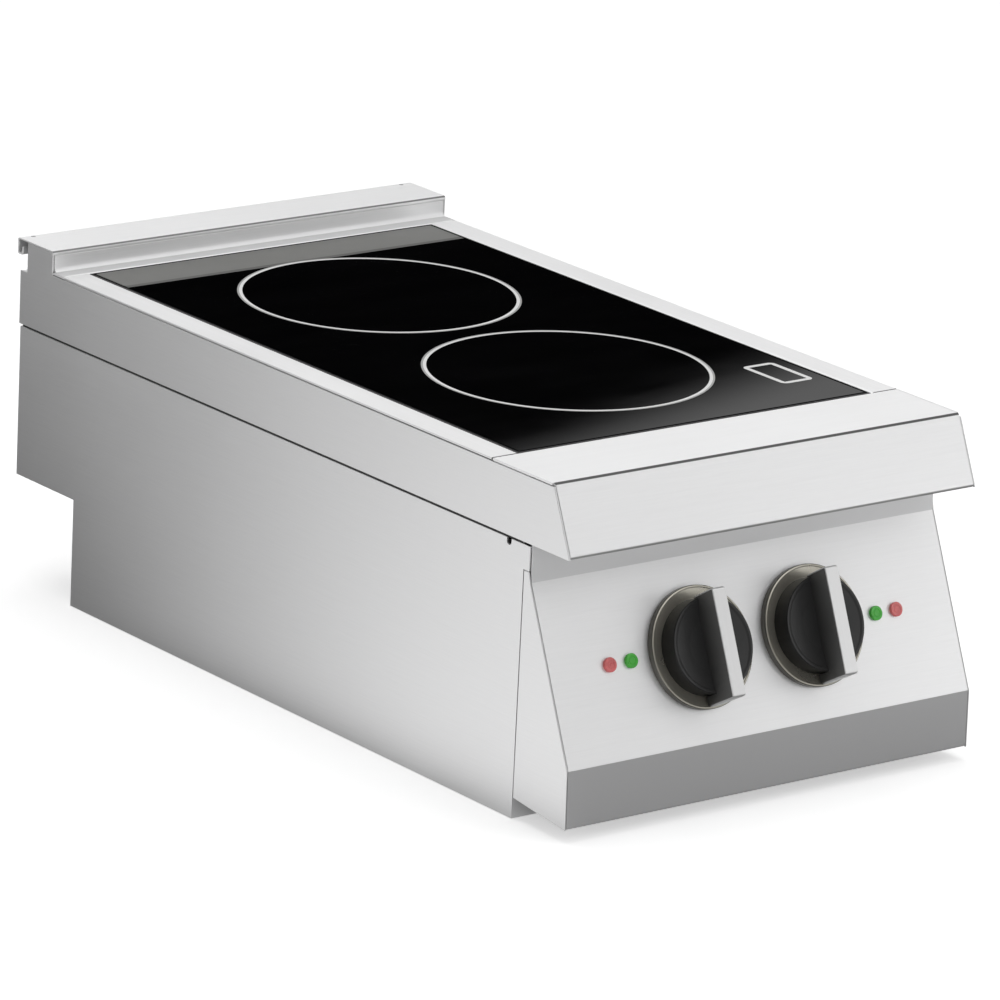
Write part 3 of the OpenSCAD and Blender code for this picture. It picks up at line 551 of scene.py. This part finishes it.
for side, word in SIDES:
    path = [(half, top), (rail_in, top), (rail_in, ledge)]
    rail = folded(path, sheet_t, bend, 0.9 * mm)
    length = (nose_back + 1.2 * mm, strip_front)
    if side > 0:
        shape = prism(rail, (X, Z, -Y), -length[1], -length[0], ease)
    else:
        shape = prism(rail, (-X, Z, Y), length[0], length[1], ease)
    # painted shade darkens each rail's front end, in its joint with the nosing
    make(f"rail_{word}", [shape, flange_part(side, *length)], "unit", "worktop_steel_long",
         [f"worktop_rail_{word}"], creases((length[0], None, 0.4 * mm, 1)))

cove = 4 * mm  # radius of the fold up to the upstand
lip = 4 * mm  # of the cap over the upstand's face
cove_front = upstand - gap
strip = [(upstand, cap_top - lip - hair), (upstand, top), (strip_front, top), (strip_front, ledge)]
plate = rounded(
    [(strip_front, top - sheet_t), (cove_front, top - sheet_t), (cove_front, top), (strip_front, top)],
    soft,
)
rear = [prism(folded(strip, sheet_t, [cove, bend], soft), across, -inner, inner, ease), *wings(plate)]
# the rear worktop and upstand take the lighter copy of the worktop steel: painted light
make("worktop_back", rear, "unit", "worktop_steel_rear_lit", ["worktop_rear"])

flush = cap_top - 0.2 * mm
hook_z = cap_top - 14 * mm
hook_y = back - 8 * mm
cap_path = [
    (hook_y, cap_top - 7 * mm), (hook_y, hook_z), (back, hook_z), (back, flush), (upstand, flush),
    (upstand, cap_top - lip),
]
cap = folded(cap_path, cap_t, bend, soft)
# painted shade darkens the cap's front bend over the upstand
make("cap", [prism(cap, across, -half, half, ease)], "unit", "worktop_steel", ["upstand_cap"],
     creases((upstand, flush, 1.5 * mm, 0.85)))

rivet_in, rivet_back = 12 * mm, 4.75 * mm
dome = np.array([(0, -2.5), (2.5, -2.5), (2.5, -1.7), (2.0, -1.7), (2.0, -0.12), (0, 0)]) * mm
rivet = rounded(dome, np.array([0, 0.1, 0.1, 0.1, 0.1, 0]) * mm, 3)
rivets = []
for side, _ in SIDES:
    spot = (side * (half - rivet_in), back - rivet_back, cap_top)
    rivets.append(lathe(rivet, (X, Y, Z), spot, 48))
make("rivets", rivets, "unit", "zinc_steel", ["cap_rivets"])

edge_z = top - sheet_t - 0.7 * mm
edge_y = front + slope_run * (edge_z - band_low) / slope_drop
low_cap = cap_top - cap_t - gap
rear_top = top - 9 * mm
foot_z = band_low + 0.5 * mm
face_y, lip_z = upstand + gap, cap_top - lip
plate = [
    (front + 0.22 * mm, foot_z), (band_back, foot_z), (band_back, rear_top), (grille, rear_top),
    (grille, low_cap), (face_y + cap_t, low_cap), (face_y + cap_t, lip_z), (face_y, lip_z),
    (face_y, edge_z), (edge_y, edge_z),
]
# the side bands take the darker copy of the worktop steel, painted shade
for side, word in SIDES:
    low, high = sorted((side * half, side * (half - band_t)))
    make(f"band_{word}", [prism(rounded(plate, 0.4 * mm, 4), across, low, high, 0.35 * mm)], "unit",
         "worktop_steel_shaded_band", [f"side_band_{word}"])

for side, word in SIDES:
    x_low, x_high = sorted((side * (half - 1.65 * mm), side * (half - 1.25 * mm)))
    y_low, y_high = front + 59 * mm, band_back - 4 * mm
    z_low, z_high = band_low - 1.35 * mm, band_low - 0.15 * mm
    seam = rounded([(y_low, z_low), (y_high, z_low), (y_high, z_high), (y_low, z_high)], 0.1 * mm, 1)
    make(f"seam_tape_{word}", [prism(seam, across, x_low, x_high, 0.05 * mm, 1)], "unit", "seal_rubber")

# ---------------------------------------------------------------- control box cheeks
for side, word in SIDES:
    node = f"control_cheek_{word}"
    low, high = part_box(node)
    foot, panel_low, panel_high = at((0, 17), (-9, strip_high), (47, recess_low))
    outline = [
        (low.y, low.z), (high.y - gap, foot[1]), (high.y - gap, high.z), (front + 49 * mm, high.z),
        panel_high, panel_low,
    ]
    cheek = prism(rounded(outline, 0.5 * mm, 4), across, low.x, high.x, 0.4 * mm)
    make(f"cheek_{word}", [cheek], "unit", "body_steel", [node])

# ---------------------------------------------------------------- glass and prints
low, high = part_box("glass_plate")
corners = [(low.x, low.y), (high.x, low.y), (high.x, high.y), (low.x, high.y)]
make("glass", [prism(rounded(corners, 0.8 * mm), (X, Y, Z), low.z, high.z, 0.6 * mm)], "unit",
     "black_glass", ["glass_plate"])

film = 0.05 * mm  # thickness of a print
zone_r = 114 * mm


def film_sheet(name, slot, x, y_low, y_high, level):
    """A film from -x to x and from y_low to y_high, one film thick, lying at a height."""
    patch = rounded([(-x, y_low), (x, y_low), (x, y_high), (-x, y_high)], 0.3 * mm, 2)
    make(name, [prism(patch, (X, Y, Z), level, level + film, 0.01 * mm, 1)], "unit", slot)


for word in ("front", "rear"):
    a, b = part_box(f"coil_winding_{word}")
    middle = ((a.x + b.x) / 2, (a.y + b.y) / 2, high.z)
    # each zone has a white ring and, just outside it, a grey ring
    for name, slot, r_in, r_out in (("zone_ring", "zone_print", zone_r - 2.1 * mm, zone_r + 0.5 * mm),
                                    ("zone_rim", "grey_rim_film", zone_r + 0.5 * mm, zone_r + 2.1 * mm)):
        line = [(r_in, 0), (r_out, 0), (r_out, 2 * film), (r_in, 2 * film)]
        ring = lathe(rounded(line, 0.01 * mm, 1), (X, Y, Z), middle, 256)
        make(f"{name}_{word}", [ring], "unit", slot)
# a grey band along the glass's rear edge, with a darker line along its front edge
rear_band_x = high.x - 1.5 * mm
rear_band_from, rear_band_to, line_from = high.y - 44.5 * mm, high.y - 2 * mm, high.y - 50 * mm
film_sheet("rear_grey_band", "rear_grey_band", rear_band_x, rear_band_from, rear_band_to, high.z)
film_sheet("rear_line", "rear_dark_line", rear_band_x, line_from, rear_band_from, high.z)
inwards = np.array([(1, 1), (-1, 1), (-1, -1), (1, -1)]) * 1.6 * mm
edge_line = rounded(np.array(corners) + inwards, 1 * mm)
make("glass_border", [band(edge_line, 1.0 * mm, 0, film, (0, 0, high.z))], "unit", "border_print")
x_low, x_high, y_low, y_high = 130.5 * mm, 157.5 * mm, front + 156 * mm, front + 205.4 * mm
zone_mark = rounded([(x_low, y_low), (x_high, y_low), (x_high, y_high), (x_low, y_high)], 2.9 * mm)
make("zone_mark", [band(zone_mark, 2.2 * mm, 0, film, (0, 0, high.z))], "unit", "zone_print")

# ---------------------------------------------------------------- knobs and pilot lenses
hinges = {j["child"]: j for j in frame["joints"]}
axis = np.array(hinges["knob_left"]["axis"])
up = np.cross(axis, X)
on_panel = (X, up, axis)


def node_radius(node):
    low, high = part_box(node)
    return (high.x - low.x) / 2


def p_mm(*points):
    return [(r * mm, h * mm) for r, h in points]


def outside(centre, r, low=-1.0, high=1.0):
    """A mark of painted shade for the points further than r from the knob's axis, between two heights."""

    def mark(p):
        h = (p - centre) @ axis
        far = np.linalg.norm(p - centre - h[:, None] * axis, axis=1)
        return ((far > r) & (h > low) & (h < high)).astype(float)

    return mark


def squeezed(part, centre, start, r):
    """A bar whose ends are rounded in plan: beyond start, its half-width w falls by
    r (1 - sqrt(1 - q^2)), with q = (distance along the bar - start) / r."""
    verts, faces, normals = part
    off = verts - centre
    q = np.clip((np.abs(off @ up) - start) / r, 0, 1)
    drop = r * (1 - np.sqrt(1 - q**2)) * off[:, 0] / np.abs(off[:, 0]).max()
    turned = normals + (q * np.sign(off @ up) * (np.abs(normals[:, 0]) > 0.5))[:, None] * up
    return verts - drop[:, None] * X, faces, unit(turned)


bar_high, bar_low, foot_high = 39, 15.5, 6.7  # heights of the grip over the panel, in mm
face_t = 1.2  # thickness of the grip's metal face, in mm
face_r = 2.2  # radius of the face's outer corners, in mm


def grip_mark(centre):
    """A mark of painted shade that rises from 0 at the bar's top to 1 at its root."""
    return lambda p: np.clip((bar_high * mm - (p - centre) @ axis) / ((bar_high - bar_low) * mm), 0, 1)


for _, word in SIDES:
    body = f"knob_{word}"
    centre = np.array(hinges[body]["pos_m"])
    drum = node_radius(f"knob_drum_{word}") / mm
    skirt = node_radius(f"knob_skirt_{word}") / mm
    width = node_radius(f"knob_grip_{word}")
    outline = p_mm((30, 0.6), (skirt, 0.6), (skirt, 6.0), (skirt - 1.6, 6.5), (skirt - 2.2, 5.9),
                   (drum + 0.2, 4), (30, 4))
    radii = np.array([0.3, 0.3, 0.8, 0.4, 0.3, 0.5, 0.3]) * mm
    # the skirt's outer rim takes the darker colour: painted shade
    make(f"skirt_{word}", [lathe(rounded(outline, radii, 5), on_panel, centre)], body, "skirt_metal",
         [f"knob_skirt_{word}"], outside(centre, (skirt - 0.45) * mm, high=6.2 * mm))
    outline = p_mm((0, 15), (3, 15), (3, 6), (12, 6), (12, 0.6), (30, 0.6), (30, 4), (drum, 4),
                   (drum, 20.4), (drum - 2.2, 20.4), (drum - 3.6, 19.6), (drum * 0.55, 18.2), (0, 18.0))
    radii = np.array([0, 0.2, 0.2, 0.3, 0.3, 0.3, 0.3, 0.6, 0.8, 0.8, 3, 18, 0]) * mm
    # the drum's side wall takes the darker colour: painted shade
    make(f"drum_{word}", [lathe(rounded(outline, radii, 6), on_panel, centre)], body, "black_plastic",
         [f"knob_drum_{word}"], outside(centre, (drum - 0.4) * mm))
    foot, reach = skirt - 1.5, drum + 3.8
    bar = p_mm((-drum, bar_low), (drum, bar_low), (reach, bar_high), (-reach, bar_high),
               (-foot + 1.3, foot_high), (-drum, foot_high))
    radii = np.array([0.3, 0.6, 0.8, 0.8, 0.6, 0.6]) * mm
    grip = prism(rounded(bar, radii, 5), (up, axis, X), -width, width, 0.55 * mm, origin=centre)
    # the bar's sides darken towards the drum: painted shade
    make(f"grip_{word}", [grip], body, "smoked_plastic", [f"knob_grip_{word}"], grip_mark(centre))
    outer = reach + face_t
    strap = p_mm((-foot, foot_high), (-foot + face_t, foot_high), (-reach, bar_high), (reach, bar_high),
                 (drum, bar_low + 0.2), (drum + face_t, bar_low + 0.2), (outer, bar_high + face_t),
                 (-outer, bar_high + face_t))
    radii = np.array([0.45, 0.45, 1.0, 1.0, 0.45, 0.45, face_r, face_r]) * mm
    face = prism(rounded(strap, radii, 6), (up, axis, X), -width, width, 0.4 * mm, origin=centre)
    face = squeezed(face, centre, (outer - face_r) * mm, face_r * mm)
    make(f"face_{word}", [face], body, "face_metal", [f"knob_face_{word}"])

knob_at = np.array(hinges["knob_left"]["pos_m"])
for colour in ("red", "green"):
    for word in ("left", "right"):
        node = f"pilot_{colour}_{word}"
        low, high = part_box(node)
        centre = np.array([(low.x + high.x) / 2, knob_at[1], knob_at[2]])
        r = node_radius(node) / mm
        lens = p_mm((0, -15.5), (4.4, -15.5), (4.4, 0), (r, 0), (r, 2.6), (r * 0.62, 2.55),
                    (r * 0.56, 2.3), (r * 0.50, 2.3), (r * 0.44, 2.5), (0, 2.5))
        radii = np.array([0, 0.2, 0.1, 0.1, 0.55, 0.1, 0.1, 0.1, 0.1, 0]) * mm
        make(f"lens_{colour}_{word}", [lathe(rounded(lens, radii, 5), on_panel, centre, 96)], "unit",
             f"{colour}_lens", [node])

# ---------------------------------------------------------------- cable gland
low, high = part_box("cable_gland")
gland_y = front + 658.5 * mm  # where the nut's collar meets the connection panel
gland_at = ((low.x + high.x) / 2, gland_y, (low.z + high.z) / 2)
behind = (X, -Z, Y)


def hexagon(flats):
    a = np.radians(np.arange(6) * 60)
    return np.c_[np.cos(a), np.sin(a)] * flats


def ribs(t, r, h):
    """Grip ribs round the dome nut: r shrinks by up to 4.5% where h is on the nut's straight wall."""
    wall = np.clip((h - 7 * mm) / mm, 0, 1) * np.clip((18.5 * mm - h) / mm, 0, 1) * (r > 11 * mm)
    return 1 - 0.045 * wall * (0.5 + 0.5 * np.cos(t * 24)) ** 2


nut = p_mm((7, -14), (10, -14), (10, 0), (12, 0), (12, 18), (8.5, 21), (7, 21))
radii = np.array([0.3, 0.5, 0.2, 0.3, 1.2, 0.8, 0.4]) * mm
nut_shape = lathe(rounded(nut, radii, 5), behind, gland_at, 240, ribs)
hexes = []
for a, b in ((0, 6), (-7.2, -1.2)):
    shape = rounded(hexagon(15 * mm), 0.7 * mm, 4)
    hexes.append(prism(shape, behind, a * mm, b * mm, 0.6 * mm, origin=gland_at))
make("gland_nut", [nut_shape], "unit", "gland_plastic", ["cable_gland"])
make("gland_hexes", hexes, "unit", "gland_plastic")

# ---------------------------------------------------------------- floor, lamps, world, camera
POOL_IN, POOL_OUT, POOL_HIGH, POOL_LOW, FRONT_HIGH = -0.40, 0.12, 1.20, 0.19, 0.72
CARD_FROM, CARD_TO, CARD_HIGH = 0.134, 0.214, 0.45


def plain(name, size, place, axes, build):
    """A flat stage card of size (w, h) with its middle at place, along the first two axes."""
    mesh = bpy.data.meshes.new(name)
    w, h = size[0] / 2, size[1] / 2
    mesh.from_pydata([(-w, -h, 0), (w, -h, 0), (w, h, 0), (-w, h, 0)], [], [(0, 1, 2, 3)])
    obj = bpy.data.objects.new(name, mesh)
    obj.matrix_world = Matrix.Translation(Vector(place)) @ Matrix(np.transpose(axes).tolist()).to_4x4()
    bpy.context.scene.collection.objects.link(obj)
    mesh.materials.append(build())
    return obj


def floor_finish():
    """White paper that keeps the shadow for the camera.

    Reflections don't see that paper: they see a made-up grey, without the shadow, with a pool of
    light left of the object and a weaker one in front. Its value is
    low + (high - low) step(s) step(x) + front ramp(x) ramp(y), where s = 0.79 x + 0.61 y."""
    t = Tree("floor_paper")
    coord = t.add("ShaderNodeTexCoord")
    along = t.add("ShaderNodeVectorMath", i0=coord.outputs["Object"], i1=(0.79, 0.61, 0))
    along.operation = "DOT_PRODUCT"
    parts = t.add("ShaderNodeSeparateXYZ", Vector=coord.outputs["Object"])
    fade = t.add(
        "ShaderNodeMapRange", i0=along.outputs["Value"], i1=POOL_IN, i2=POOL_OUT, i3=1.0, i4=-0.14
    )
    fade.interpolation_type = "SMOOTHSTEP"
    aside = t.add("ShaderNodeMapRange", i0=parts.outputs[0], i1=-0.26, i2=-0.17, i3=1.0, i4=0.0)
    pool = t.math("MULTIPLY", fade.outputs[0], aside.outputs[0])
    forward = t.spread(parts.outputs[1], 0, 1, -0.58, -0.90)
    ahead = t.math("MULTIPLY", forward, t.spread(parts.outputs[0], 0, FRONT_HIGH, -0.25, 0.60))
    value = t.math("ADD", t.math("MULTIPLY_ADD", pool, POOL_HIGH - POOL_LOW, POOL_LOW), ahead)
    seen = t.add("ShaderNodeEmission", Color=(1, 1, 1, 1), Strength=value)
    paper = t.add("ShaderNodeBsdfDiffuse", Color=(0.93, 0.93, 0.93, 1))
    lift = t.add("ShaderNodeEmission", Color=(1, 1, 1, 1), Strength=0.45)
    lit = t.add("ShaderNodeAddShader", i0=paper.outputs[0], i1=lift.outputs[0])
    path = t.add("ShaderNodeLightPath")
    by_camera, by_gloss = path.outputs["Is Camera Ray"], path.outputs["Is Glossy Ray"]
    look = t.add("ShaderNodeMixShader", i0=by_camera, i1=paper.outputs[0], i2=lit.outputs[0])
    mix = t.add("ShaderNodeMixShader", i0=by_gloss, i1=look.outputs[0], i2=seen.outputs[0])
    t.tree.links.new(mix.outputs[0], t.out.inputs[0])
    return t.mat


def card_finish():
    """A dark card that only reflections see, lighter towards its upper right corner."""
    t = Tree("dark_card")
    coord = t.add("ShaderNodeTexCoord")
    along = t.add("ShaderNodeVectorMath", i0=coord.outputs["Object"], i1=(0.371, 0.928, 0))
    along.operation = "DOT_PRODUCT"
    fade = t.add("ShaderNodeMapRange", i0=along.outputs["Value"], i1=CARD_FROM, i2=CARD_TO, i4=CARD_HIGH)
    fade.interpolation_type = "SMOOTHSTEP"
    glow = t.add("ShaderNodeEmission", Color=(1, 1, 1, 1), Strength=fade.outputs[0])
    t.tree.links.new(glow.outputs[0], t.out.inputs[0])
    return t.mat


plain("floor", (60, 60), (0, 0, -0.0005), (X, Y, Z), floor_finish)

camera_at = np.array([-3.33379, -4.29896, 1.78864])
right, head = np.array([0.79698, -0.60224, 0.04604]), np.array([0.13956, 0.25778, 0.95607])
look = np.array([0.58766, 0.75555, -0.28950])

# the card stands where the glass mirrors the camera
mirror = look * (1, 1, -1)
glass_mid = np.mean(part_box("glass_plate"), axis=0)
card_x = unit(np.cross(mirror, Z))
card_up = np.cross(card_x, mirror)
card_far, card_drop = 4.0, 0.08
card_place = glass_mid + card_far * mirror - card_drop * card_up
card = plain("dark_card", (1.3, 0.62), card_place, (card_x, card_up, -mirror), card_finish)
for flag in ("visible_camera", "visible_diffuse", "visible_shadow", "visible_transmission"):
    setattr(card, flag, False)


def lamp(name, place, target, size, power):
    """A white area lamp of size (w, h) that looks from its place to a target."""
    data = bpy.data.lights.new(name, "AREA")
    data.shape = "RECTANGLE"
    data.size, data.size_y = size
    data.energy = power
    obj = bpy.data.objects.new(name, data)
    obj.location = place
    obj.rotation_euler = (Vector(target) - Vector(place)).to_track_quat("-Z", "Y").to_euler()
    bpy.context.scene.collection.objects.link(obj)


lamp("key", (1.3, -2.3, 2.4), (0, -0.1, 0.2), (2.0, 2.0), 11)
lamp("fill", (-0.9, -2.9, 1.2), (0, 0.1, 0.2), (1.4, 1.4), 2.5)
lamp("side", (1.25, -1.40, 0.40), (0.1, -0.36, 0.2), (0.9, 0.5), 1.7)
lamp("sky", (0, 0.6, 3.2), (0, 0.1, 0), (3.0, 3.0), 38)

world = bpy.data.worlds.new("studio")
bpy.context.scene.world = world
world.use_nodes = True
tree = world.node_tree
tree.nodes.clear()


def world_node(kind, *values):
    """A node of the world, its inputs set or linked in their order."""
    node = tree.nodes.new(kind)
    for k, value in enumerate(values):
        if isinstance(value, bpy.types.NodeSocket):
            tree.links.new(value, node.inputs[k])
        elif value is not None:
            node.inputs[k].default_value = value
    return node


# the camera sees white; reflections see a grey sky instead, 0.44 + 0.52 x + 0.40 y, lighter to the
# right and the back; the rest is a plain soft light
coord = world_node("ShaderNodeTexCoord")
slope = world_node("ShaderNodeVectorMath", coord.outputs["Generated"], (0.52, 0.40, 0))
slope.operation = "DOT_PRODUCT"
sky = world_node("ShaderNodeMapRange", slope.outputs["Value"], -0.32, 0.61, 0.12, 1.05)
path = world_node("ShaderNodeLightPath")
by_gloss, by_passing = path.outputs["Is Glossy Ray"], path.outputs["Is Transmission Ray"]
reflected = world_node("ShaderNodeMath", by_gloss, by_passing)
reflected.operation = "MAXIMUM"
soft_light = world_node("ShaderNodeBackground", (1, 1, 1, 1), 0.45)
gradient = world_node("ShaderNodeBackground", (1, 1, 1, 1), sky.outputs[0])
white = world_node("ShaderNodeBackground", (1, 1, 1, 1), 1.0)
lights = world_node(
    "ShaderNodeMixShader", reflected.outputs[0], soft_light.outputs[0], gradient.outputs[0]
)
mix = world_node(
    "ShaderNodeMixShader", path.outputs["Is Camera Ray"], lights.outputs[0], white.outputs[0]
)
world_node("ShaderNodeOutputWorld", mix.outputs[0])

sensor = 36.0  # width in mm
focal = 7.0745  # focal length in sensor widths
data = bpy.data.cameras.new("camera")
data.sensor_width = sensor
data.lens = focal * sensor
data.clip_start, data.clip_end = 0.1, 100.0
camera = bpy.data.objects.new("camera", data)
turn = Matrix([(right[k], head[k], -look[k]) for k in range(3)])
camera.matrix_world = Matrix.Translation(Vector(camera_at)) @ turn.to_4x4()
bpy.context.scene.collection.objects.link(camera)
bpy.context.scene.camera = camera
bpy.context.scene.view_settings.view_transform = "Standard"
